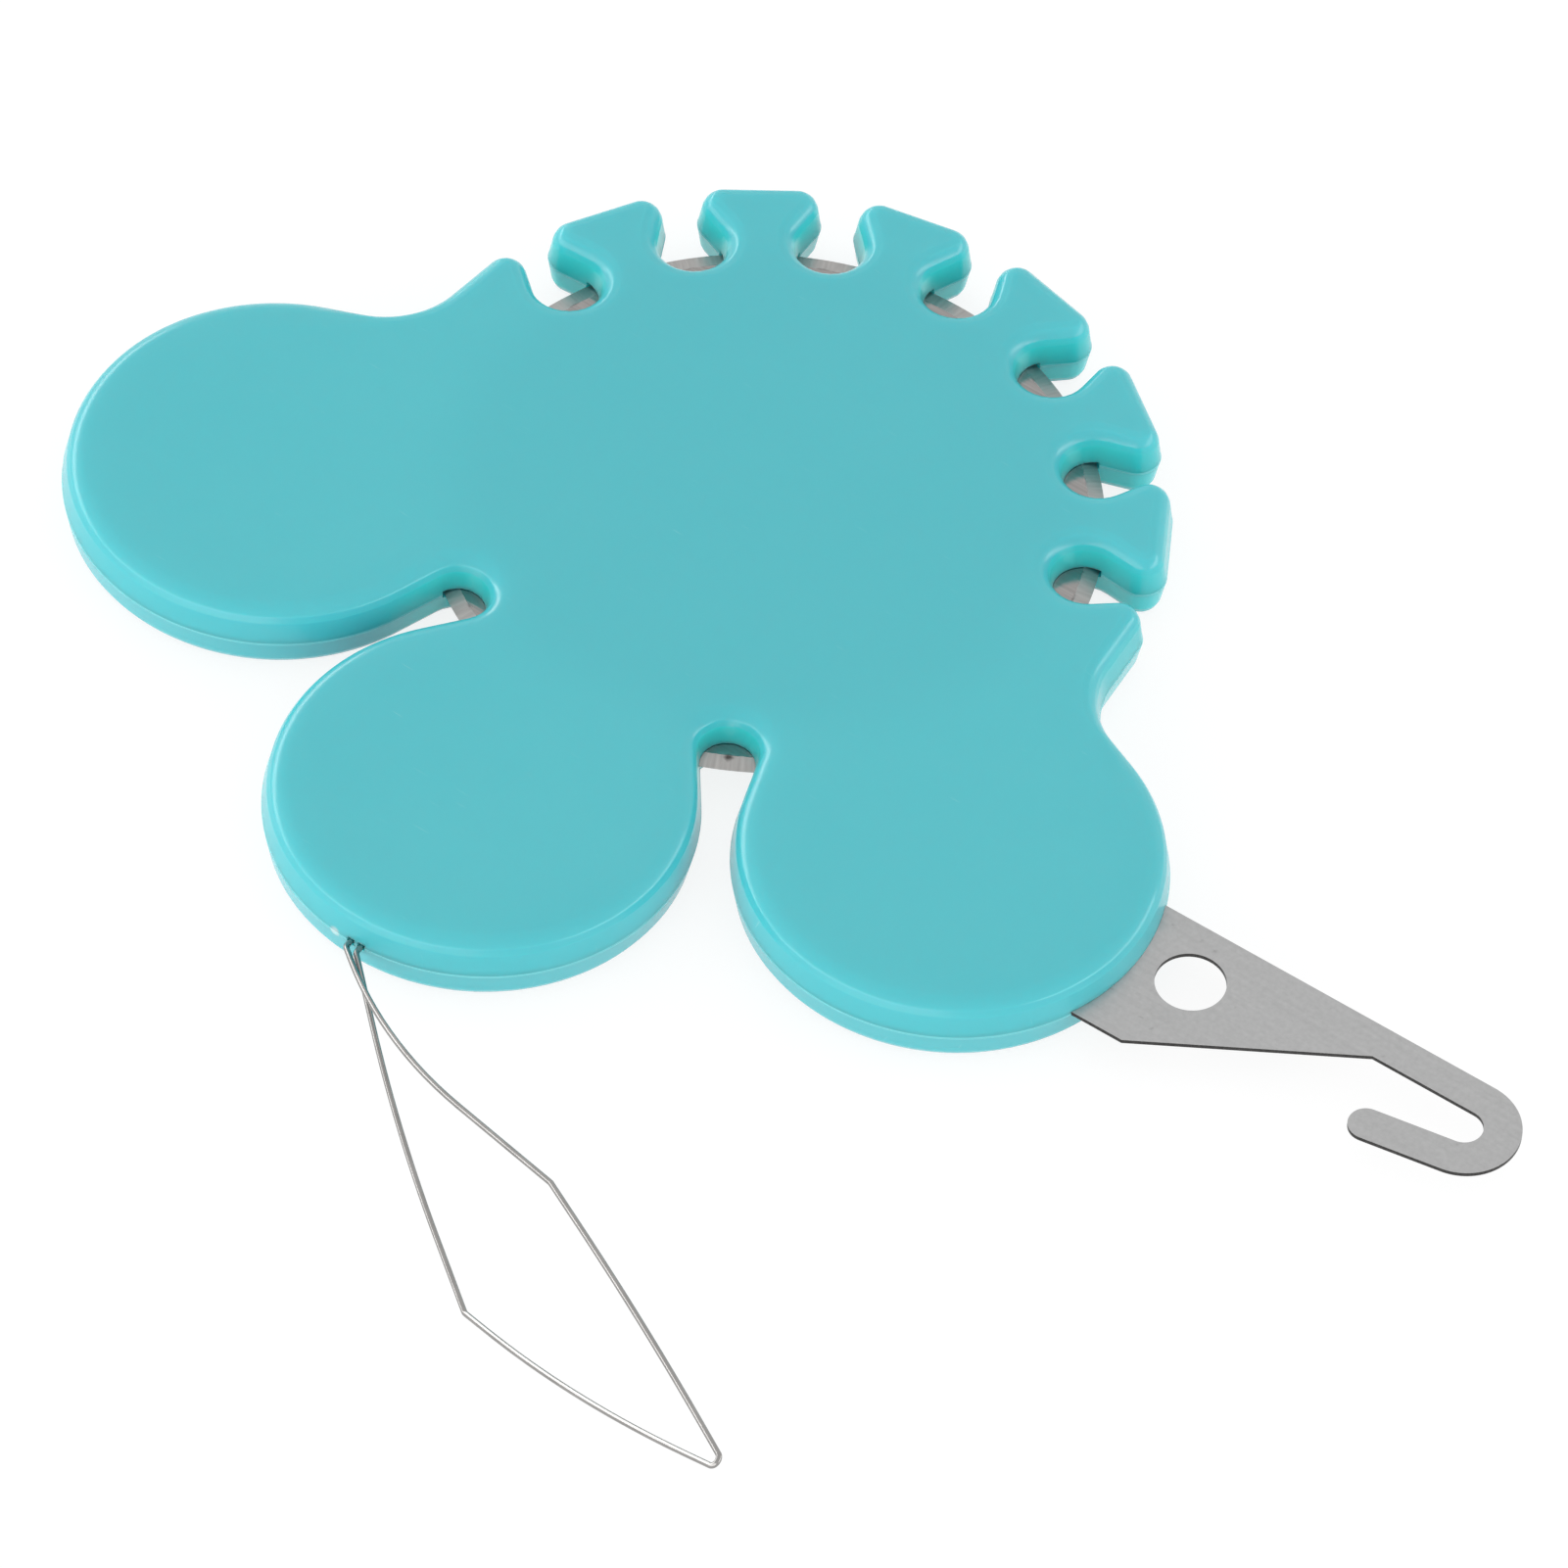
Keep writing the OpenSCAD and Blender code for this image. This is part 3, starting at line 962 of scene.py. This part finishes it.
@dataclass
class PartingCuts:
    """Room that both halves leave free at the parting plane for the blade, hook and wire."""

    outline: MouldedOutline
    pocket_r: float = 14.1
    pocket_depth: float = 0.19
    hub_r: float = 2.95
    tang_back: float = 3.0
    tang_w: float = 6.9
    tang_depth: float = 0.12
    tang_turn_deg: float = 0.8
    wire_places: tuple[float, float] = (-0.03, 0.47)
    channel_w: float = 0.35
    channel_run: float = 3.4
    overshoot: float = 1.0
    steps: int = 192

    def mesh(self) -> bpy.types.Mesh:
        """Builds the room as a solid, with the parting plane at z = 0.

        Returns:
            The mesh, in millimetres.
        """
        bm = bmesh.new()
        depth = self.pocket_depth
        section = [(self.hub_r, -depth), (self.pocket_r, -depth), (self.pocket_r, depth), (self.hub_r, depth)]
        spun_ring(bm, section, self.steps)
        reach = self.outline.lobe_r + self.overshoot
        tang = bmesh.new()
        low = Vector((-self.tang_back, -self.tang_w / 2, -self.tang_depth))
        box(tang, low, Vector((reach, self.tang_w / 2, self.tang_depth)))
        lean = Matrix.Rotation(math.radians(self.tang_turn_deg), 4, "Z")
        tang.transform(Matrix.Translation(self.outline.right_lobe) @ lean)
        added(bm, tang)
        rim = self.outline.foot_lobe.y - self.outline.lobe_r
        half = self.channel_w / 2
        for x in self.wire_places:
            low = Vector((x - half, rim - self.overshoot, -half))
            box(bm, low, Vector((x + half, rim + self.channel_run, half)))
        return finished_mesh(bm, "parting_cuts")


def carved(solid: bpy.types.Mesh, room: bpy.types.Mesh) -> bpy.types.Mesh:
    """Cuts one solid out of another.

    Args:
        solid: Mesh that is cut. It is removed.
        room: Mesh that is taken away. It is removed.

    Returns:
        The cut mesh.
    """
    whole = bpy.data.objects.new("whole", solid)
    cutter = bpy.data.objects.new("cutter", room)
    for temporary in (whole, cutter):
        bpy.context.scene.collection.objects.link(temporary)
    cut = whole.modifiers.new("cut", "BOOLEAN")
    cut.operation = "DIFFERENCE"
    cut.solver = "EXACT"
    cut.object = cutter
    graph = bpy.context.evaluated_depsgraph_get()
    mesh = bpy.data.meshes.new_from_object(whole.evaluated_get(graph))
    for temporary in (whole, cutter):
        bpy.data.objects.remove(temporary)
    bpy.data.meshes.remove(solid)
    bpy.data.meshes.remove(room)
    return mesh


@dataclass
class MouldedHalf:
    """One half of the body: the outline drawn in to a rounded rim above the parting plane."""

    half: Half
    outline: MouldedOutline
    half_t: float = 1.7
    wall_h: float = 1.05
    wall_slope_deg: float = 80.0
    facet_run: float = 0.3
    facet_slope_deg: float = 62.0
    shoulder_slope_deg: float = 46.0
    crown_slope_deg: float = 6.0
    crown_run: float = 1.2
    crease: float = 0.04
    seam_break: float = 0.005
    seam_step: float = 0.012
    rim_rings: int = 11
    crown_rings: int = 4

    def rim_profile(self) -> list[tuple[float, float]]:
        """Lists the rings of the rim as inset and height above the parting plane.

        Returns:
            The broken edge, which the upper half steps back a little to show, a leaning wall, a
            facet on top of it, a round shoulder and a low crown.
        """
        slopes = (self.wall_slope_deg, self.facet_slope_deg, self.shoulder_slope_deg, self.crown_slope_deg)
        wall, facet, shoulder, crown = (math.radians(slope) for slope in slopes)
        step = self.seam_step if self.half is Half.UPPER else 0.0
        rings = [(step + self.seam_break, 0.0), (step, self.seam_break)]

        def rise(slope: float, length: float) -> None:
            """Adds a straight run, with a ring just before its end to keep the crease narrow."""
            inset, height = rings[-1]
            for along in (self.crease, length - self.crease, length):
                rings.append((inset + math.cos(slope) * along, height + math.sin(slope) * along))

        rise(wall, (self.wall_h - self.seam_break) / math.sin(wall))
        rise(facet, self.facet_run)
        inset, height = rings[-1]
        crown_drop = math.tan(crown) * self.crown_run / 2
        turn = math.cos(crown) - math.cos(shoulder)
        round_r = (self.half_t - height - crown_drop) / turn
        for i in range(1, self.rim_rings + 1):
            slope = shoulder + (crown - shoulder) * i / self.rim_rings
            across = round_r * (math.sin(shoulder) - math.sin(slope))
            rings.append((inset + across, height + round_r * (math.cos(slope) - math.cos(shoulder))))
        inset = rings[-1][0]
        for i in range(1, self.crown_rings + 1):
            share = i / self.crown_rings
            rings.append((inset + self.crown_run * share, self.half_t - crown_drop * (1 - share) ** 2))
        return rings

    def build(self) -> bpy.types.Object:
        """Builds the half as one closed mesh.

        Returns:
            The piece, standing for its solid.
        """
        bm = bmesh.new()
        profile = self.rim_profile()
        for inset, height in profile:
            added(bm, self.outline.ring(inset, height))
        edges = bm.edges[:]
        count = len(edges) // len(profile)
        loops = [edges[i * count : (i + 1) * count] for i in range(len(profile))]
        for below, above in zip(loops, loops[1:]):
            bmesh.ops.bridge_loops(bm, edges=below + above)
        bmesh.ops.contextual_create(bm, geom=loops[0])
        face = bmesh.ops.contextual_create(bm, geom=loops[-1])["faces"]
        # A narrow level ring keeps the shading of the flat face level
        bmesh.ops.inset_region(bm, faces=face, thickness=self.crease, use_even_offset=True)
        if self.half is Half.LOWER:
            turn = Matrix.Rotation(math.pi, 3, "Y")
            bmesh.ops.rotate(bm, verts=bm.verts[:], cent=(0.0, 0.0, 0.0), matrix=turn)
        solid = finished_mesh(bm, self.half.value)
        mesh = carved(solid, PartingCuts(self.outline).mesh())
        mesh.transform(Matrix.Translation(UP * self.half_t))
        piece = placed_piece(mesh, f"moulded_{self.half.value}", crease_deg=40)
        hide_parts(self.half.value)
        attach(piece, Body.CASE.value)
        return piece

    def dress(self, piece: bpy.types.Object, plastic: bpy.types.Material) -> None:
        """Gives the half its plastic."""
        piece.data.materials.clear()
        piece.data.materials.append(plastic)


@dataclass
class DiscBlade:
    """The round blade: a thin disc with a hub hole and a bevel on both faces."""

    radius: float = 14.0
    thickness: float = 0.3
    bevel_w: float = 0.65
    edge_t: float = 0.04
    hole_r: float = 3.0
    mid_height: float = 1.7
    steps: int = 288

    def build(self) -> bpy.types.Object:
        """Builds the blade.

        Returns:
            The piece, standing for its solid.
        """
        half, edge = self.thickness / 2, self.edge_t / 2
        inner = self.radius - self.bevel_w
        section = [
            (self.hole_r, -half),
            (inner, -half),
            (self.radius, -edge),
            (self.radius, edge),
            (inner, half),
            (self.hole_r, half),
        ]
        bm = bmesh.new()
        spun_ring(bm, section, self.steps)
        bmesh.ops.translate(bm, verts=bm.verts[:], vec=UP * self.mid_height)
        piece = placed_piece(finished_mesh(bm, "disc_blade"), "disc_blade", crease_deg=4)
        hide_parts("cutter_blade")
        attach(piece, Body.BLADE.value)
        return piece

    def dress(self, piece: bpy.types.Object, finish: GroundBladeSteel) -> None:
        """Gives the blade its ground steel."""
        piece.data.materials.append(finish.material())


@dataclass
class StampedHook:
    """The sheet metal hook, in its own plan: the lobe's axis at 0, 0 and the stem along +X."""

    outline: MouldedOutline
    thickness: float = 0.2
    width: float = 6.8
    tang_back: float = 2.95
    shoulder_run: float = 1.65
    stem_start: float = 10.15
    stem_w: float = 1.54
    bend_reach: float = 14.95
    slot_r: float = 0.82
    limb_run: float = 3.48
    limb_angle_deg: float = 10.0
    lean_deg: float = 0.8
    hole_r: float = 1.45
    hole_reach: float = 2.25
    hole_side: float = 0.7
    edge_round: float = 0.025
    mid_height: float = 1.7
    arc_steps: int = 32

    def plan(self, bm: bmesh.types.BMesh) -> None:
        """Draws the hook's outline and its round hole as edges.

        Args:
            bm: The empty bmesh that takes the edges.
        """
        lobe_r, half = self.outline.lobe_r, self.width / 2
        stem_inner = half - self.stem_w
        bend_r = self.slot_r + self.stem_w
        bend = Vector((lobe_r + self.bend_reach, stem_inner - self.slot_r, 0.0))
        lean = math.radians(self.limb_angle_deg)
        turn = Matrix.Rotation(lean, 3, "Z")
        limb_end = bend + turn @ Vector((-self.limb_run, -self.slot_r - self.stem_w / 2, 0.0))
        along_limb = turn @ Vector((0.0, self.stem_w / 2, 0.0))
        half_turn = math.pi
        corner = [
            Vector((-self.tang_back, -half, 0.0)),
            Vector((lobe_r + self.shoulder_run, -half, 0.0)),
            Vector((lobe_r + self.stem_start, stem_inner, 0.0)),
        ]
        corners = [bmesh.ops.create_vert(bm, co=place)["vert"][0] for place in corner]
        runs = [(vertex, vertex) for vertex in corners]
        slot_top = bend + Vector((0.0, self.slot_r, 0.0))
        runs.append(arc_of_vertices(bm, slot_top, bend, lean - half_turn, self.arc_steps))
        runs.append(arc_of_vertices(bm, limb_end + along_limb, limb_end, half_turn, self.arc_steps))
        outer = bend + turn @ Vector((0.0, -bend_r, 0.0))
        runs.append(arc_of_vertices(bm, outer, bend, half_turn - lean, 2 * self.arc_steps))
        back = bmesh.ops.create_vert(bm, co=(-self.tang_back, half, 0.0))["vert"][0]
        runs.append((back, back))
        join_runs(bm, runs)
        hole = Vector((lobe_r + self.hole_reach, self.hole_side, 0.0))
        place = Matrix.Translation(hole)
        bmesh.ops.create_circle(bm, segments=4 * self.arc_steps, radius=self.hole_r, matrix=place)

    def build(self) -> bpy.types.Object:
        """Builds the hook with slightly rolled edges.

        Returns:
            The piece, standing for its solid.
        """
        bm = bmesh.new()
        self.plan(bm)
        bmesh.ops.triangle_fill(bm, use_beauty=True, edges=bm.edges[:], normal=UP)
        raised = bmesh.ops.extrude_face_region(bm, geom=bm.faces[:], use_keep_orig=True)["geom"]
        top = [v for v in raised if isinstance(v, bmesh.types.BMVert)]
        bmesh.ops.translate(bm, verts=top, vec=UP * self.thickness)
        bmesh.ops.recalc_face_normals(bm, faces=bm.faces[:])
        square = math.radians(80)
        rims = [e for e in bm.edges if e.is_manifold and e.calc_face_angle() > square]
        rims = [e for e in rims if abs(e.verts[0].co.z - e.verts[1].co.z) < self.edge_round]
        bmesh.ops.bevel(
            bm,
            geom=rims,
            offset=self.edge_round,
            offset_type="OFFSET",
            segments=3,
            profile=0.5,
            affect="EDGES",
            material=-1,
            clamp_overlap=True,
        )
        lean = Matrix.Rotation(math.radians(self.lean_deg), 4, "Z")
        low = UP * (self.mid_height - self.thickness / 2)
        bm.transform(Matrix.Translation(self.outline.right_lobe + low) @ lean)
        piece = placed_piece(finished_mesh(bm, "stamped_hook"), "stamped_hook", crease_deg=35)
        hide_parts("hook_threader")
        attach(piece, Body.CASE.value)
        return piece

    def dress(self, piece: bpy.types.Object, face: RolledSteel, edge: ShearedSteel) -> None:
        """Gives the flat faces rolled steel and the stamped edges sheared steel."""
        mesh = piece.data
        mesh.materials.append(face.material())
        mesh.materials.append(edge.material())
        steep = 0.5
        for polygon in mesh.polygons:
            polygon.material_index = 1 if abs(polygon.normal.z) < steep else 0


class Stop(NamedTuple):
    """Corner of the wire's route and the radius of the bend there."""

    place: Vector
    bend_r: float


@dataclass
class SpringWire:
    """The wire loop: one length of spring wire, fed straight and bent at each stop."""

    outline: MouldedOutline
    wire_r: float = 0.125
    sides: int = 14
    tail_x: float = 0.25
    tail_side: float = 0.22
    stub_run: float = 0.3
    tail_run: float = 3.2
    mid_height: float = 1.7
    tip_bend_r: float = 0.28
    kink_bend_r: float = 0.4
    bend_step_deg: float = 9.0
    bend_step_mm: float = 0.8

    def route(self) -> list[Stop]:
        """Lists the stops of the wire from one hidden end to the other."""
        tip, kink = self.tip_bend_r, self.kink_bend_r
        stops = [
            ((-self.tail_x, self.tail_run, 0.0), 0.0),
            ((-self.tail_x, -self.stub_run, 0.0), tip),
            ((4.4, -4.2, 1.3), 28.0),
            ((15.0, -7.7, 4.2), kink),
            ((22.57, -12.09, 5.7), 240.0),
            ((29.9, -16.85, 7.2), tip),
            ((21.5, -15.1, 3.2), 80.0),
            ((14.25, -12.15, -0.1), kink),
            ((6.86, -6.55, -0.05), 100.0),
            ((self.tail_x, -self.stub_run, 0.0), tip),
            ((self.tail_x, self.tail_run, 0.0), 0.0),
        ]
        rim = self.outline.foot_lobe.y - self.outline.lobe_r
        leaves = Vector((self.tail_side, rim, self.mid_height))
        return [Stop(leaves + Vector(place), bend_r) for place, bend_r in stops]

    @staticmethod
    def fed(bm: bmesh.types.BMesh, rim: list[Any], way: Vector) -> list[Any]:
        """Feeds the wire's open end straight on.

        Args:
            bm: The bmesh of the wire.
            rim: Edges of the open end.
            way: Distance and direction of the feed.

        Returns:
            Edges of the new open end.
        """
        grown = bmesh.ops.extrude_edge_only(bm, edges=rim)["geom"]
        ends = [v for v in grown if isinstance(v, bmesh.types.BMVert)]
        bmesh.ops.translate(bm, verts=ends, vec=way)
        return [e for e in grown if isinstance(e, bmesh.types.BMEdge) and all(v in ends for v in e.verts)]

    def build(self) -> bpy.types.Object:
        """Builds the wire.

        Returns:
            The piece, standing for its solid.
        """
        route = self.route()
        bm = bmesh.new()
        here = route[0].place
        way = (route[1].place - here).normalized()
        facing = way.to_track_quat("Z", "Y").to_matrix().to_4x4()
        start = Matrix.Translation(here) @ facing
        bmesh.ops.create_circle(bm, cap_ends=True, segments=self.sides, radius=self.wire_r, matrix=start)
        rim = bm.edges[:]
        for stop, after in zip(route[1:], route[2:]):
            way = (stop.place - here).normalized()
            onward = (after.place - stop.place).normalized()
            turn = way.angle(onward)
            axis = way.cross(onward).normalized()
            bend_start = stop.place - way * stop.bend_r * math.tan(turn / 2)
            rim = self.fed(bm, rim, bend_start - here)
            by_angle = math.degrees(turn) / self.bend_step_deg
            by_length = turn * stop.bend_r / self.bend_step_mm
            spun = bmesh.ops.spin(
                bm,
                geom=rim + list({v for e in rim for v in e.verts}),
                cent=bend_start + axis.cross(way) * stop.bend_r,
                axis=axis,
                angle=turn,
                steps=max(2, math.ceil(by_angle), math.ceil(by_length)),
            )
            rim = [e for e in spun["geom_last"] if isinstance(e, bmesh.types.BMEdge)]
            here = stop.place + onward * stop.bend_r * math.tan(turn / 2)
        rim = self.fed(bm, rim, route[-1].place - here)
        bmesh.ops.contextual_create(bm, geom=rim)
        piece = placed_piece(finished_mesh(bm, "spring_wire"), "spring_wire", crease_deg=60)
        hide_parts("wire_loop")
        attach(piece, Body.CASE.value)
        return piece

    def dress(self, piece: bpy.types.Object, finish: DrawnWire) -> None:
        """Gives the wire its drawn steel."""
        piece.data.materials.append(finish.material())


@dataclass
class Softbox:
    """Flat lamp that faces a point above the tool."""

    name: str
    azimuth_deg: float
    elevation_deg: float
    distance: float
    width: float
    height: float
    radiance: float

    def build(self, target: Vector) -> bpy.types.Object:
        """Builds the lamp.

        Args:
            target: Point that the lamp faces.

        Returns:
            The lamp's object.
        """
        lamp = bpy.data.lights.new(self.name, "AREA")
        lamp.shape = "RECTANGLE"
        lamp.size = self.width
        lamp.size_y = self.height
        lamp.energy = self.radiance * math.pi * self.width * self.height
        back = direction(self.azimuth_deg, self.elevation_deg)
        holder = bpy.data.objects.new(self.name, lamp)
        holder.location = target + back * self.distance
        holder.rotation_mode = "QUATERNION"
        holder.rotation_quaternion = back.to_track_quat("Z", "Y")
        bpy.context.scene.collection.objects.link(holder)
        return holder


@dataclass
class Studio:
    """Pale floor, soft light and a long lens at the viewing angle of the photograph."""

    azimuth_deg: float = 31.97
    elevation_deg: float = 50.48
    roll_deg: float = 4.17
    distance_mm: float = 527.1
    target_mm: tuple[float, float, float] = (8.292, -10.25, 0.0)
    lens_mm: float = 298.95
    sensor_mm: float = 36.0
    floor_size: float = 4.0
    floor_gap_mm: float = 0.02
    floor_albedo: str = "#f5f5f5"
    glow_share: float = 0.8
    glow_strength: float = 1.06
    ambient: float = 0.78
    softboxes: list[Softbox] = field(
        default_factory=lambda: [
            Softbox("front_softbox", -10.0, 16.0, 0.65, 1.3, 0.42, 1.7),
            Softbox("left_softbox", -95.0, 16.0, 0.6, 0.8, 0.14, 3.6),
            Softbox("right_softbox", 110.0, 18.0, 0.6, 0.9, 0.14, 3.2),
        ]
    )

    @staticmethod
    def shown_rays(tree: bpy.types.NodeTree) -> bpy.types.Node:
        """Adds the sum of the rays that see the background.

        Args:
            tree: Node tree of the floor or the world.

        Returns:
            Node that gives 1 for camera, glossy and transmission rays.
        """
        path = add_node(tree, "ShaderNodeLightPath").outputs
        gloss = add_node(
            tree,
            "ShaderNodeMath",
            {"operation": "MAXIMUM"},
            {0: path["Is Glossy Ray"], 1: path["Is Transmission Ray"]},
        )
        shown = add_node(
            tree, "ShaderNodeMath", {"operation": "MAXIMUM"}, {0: path["Is Camera Ray"], 1: gloss}
        )
        return shown

    def build_floor(self) -> bpy.types.Object:
        """Builds the floor, which looks white and keeps a faint shadow.

        Returns:
            The floor.
        """
        material, tree = new_material("white_sweep")
        paper = add_node(tree, "ShaderNodeBsdfDiffuse", inputs={"Color": linear(self.floor_albedo)})
        glow = add_node(tree, "ShaderNodeEmission", inputs={"Strength": self.glow_strength})
        share = add_node(tree, "ShaderNodeMath", PRODUCT, {0: self.shown_rays(tree), 1: self.glow_share})
        mixed = add_node(tree, "ShaderNodeMixShader", inputs={0: share, 1: paper, 2: glow})
        add_node(tree, "ShaderNodeOutputMaterial", inputs={"Surface": mixed})
        bm = bmesh.new()
        low = Matrix.Translation((0.0, 0.0, -self.floor_gap_mm * MM))
        bmesh.ops.create_grid(bm, x_segments=1, y_segments=1, size=self.floor_size / 2, matrix=low)
        mesh = bpy.data.meshes.new("floor")
        bm.to_mesh(mesh)
        bm.free()
        mesh.materials.append(material)
        floor = bpy.data.objects.new("floor", mesh)
        bpy.context.scene.collection.objects.link(floor)
        return floor

    def build_world(self) -> bpy.types.World:
        """Builds the even light of a white room.

        Returns:
            The world.
        """
        world = bpy.data.worlds.new("white_room")
        world.use_nodes = True
        tree = world.node_tree
        tree.nodes.clear()
        dim = add_node(tree, "ShaderNodeBackground", inputs={"Strength": self.ambient})
        white = add_node(tree, "ShaderNodeBackground", inputs={"Strength": 1.0})
        for background in (dim, white):
            background.inputs["Color"].default_value = (1.0, 1.0, 1.0, 1.0)
        mixed = add_node(tree, "ShaderNodeMixShader", inputs={0: self.shown_rays(tree), 1: dim, 2: white})
        add_node(tree, "ShaderNodeOutputWorld", inputs={"Surface": mixed})
        bpy.context.scene.world = world
        return world

    def build_camera(self) -> bpy.types.Object:
        """Builds the camera.

        Returns:
            The camera.
        """
        back = direction(self.azimuth_deg, self.elevation_deg)
        lens = bpy.data.cameras.new("camera")
        lens.lens = self.lens_mm
        lens.sensor_width = self.sensor_mm
        lens.clip_start = self.distance_mm * MM / 100
        camera = bpy.data.objects.new("camera", lens)
        aim = (-back).to_track_quat("-Z", "Y").to_matrix().to_4x4()
        roll = Matrix.Rotation(math.radians(self.roll_deg), 4, "Z")
        place = (Vector(self.target_mm) + back * self.distance_mm) * MM
        camera.matrix_world = Matrix.Translation(place) @ aim @ roll
        bpy.context.scene.collection.objects.link(camera)
        bpy.context.scene.camera = camera
        return camera

    def build(self) -> None:
        """Builds the floor, the world, the lamps and the camera."""
        self.build_floor()
        self.build_world()
        target = Vector(self.target_mm) * MM
        for softbox in self.softboxes:
            softbox.build(target)
        self.build_camera()
        bpy.context.scene.view_settings.view_transform = "Standard"


def main() -> None:
    """Builds and dresses every piece, then the studio."""
    logging.basicConfig(level=logging.INFO, format="%(message)s")
    Studio().build()
    outline = MouldedOutline()
    plastic = MouldedPolypropylene().material()
    for half in Half:
        moulded = MouldedHalf(half, outline)
        moulded.dress(moulded.build(), plastic)
    blade = DiscBlade()
    blade.dress(blade.build(), GroundBladeSteel())
    hook = StampedHook(outline)
    hook.dress(hook.build(), RolledSteel(), ShearedSteel())
    wire = SpringWire(outline)
    wire.dress(wire.build(), DrawnWire())


if __name__ == "__main__":
    main()
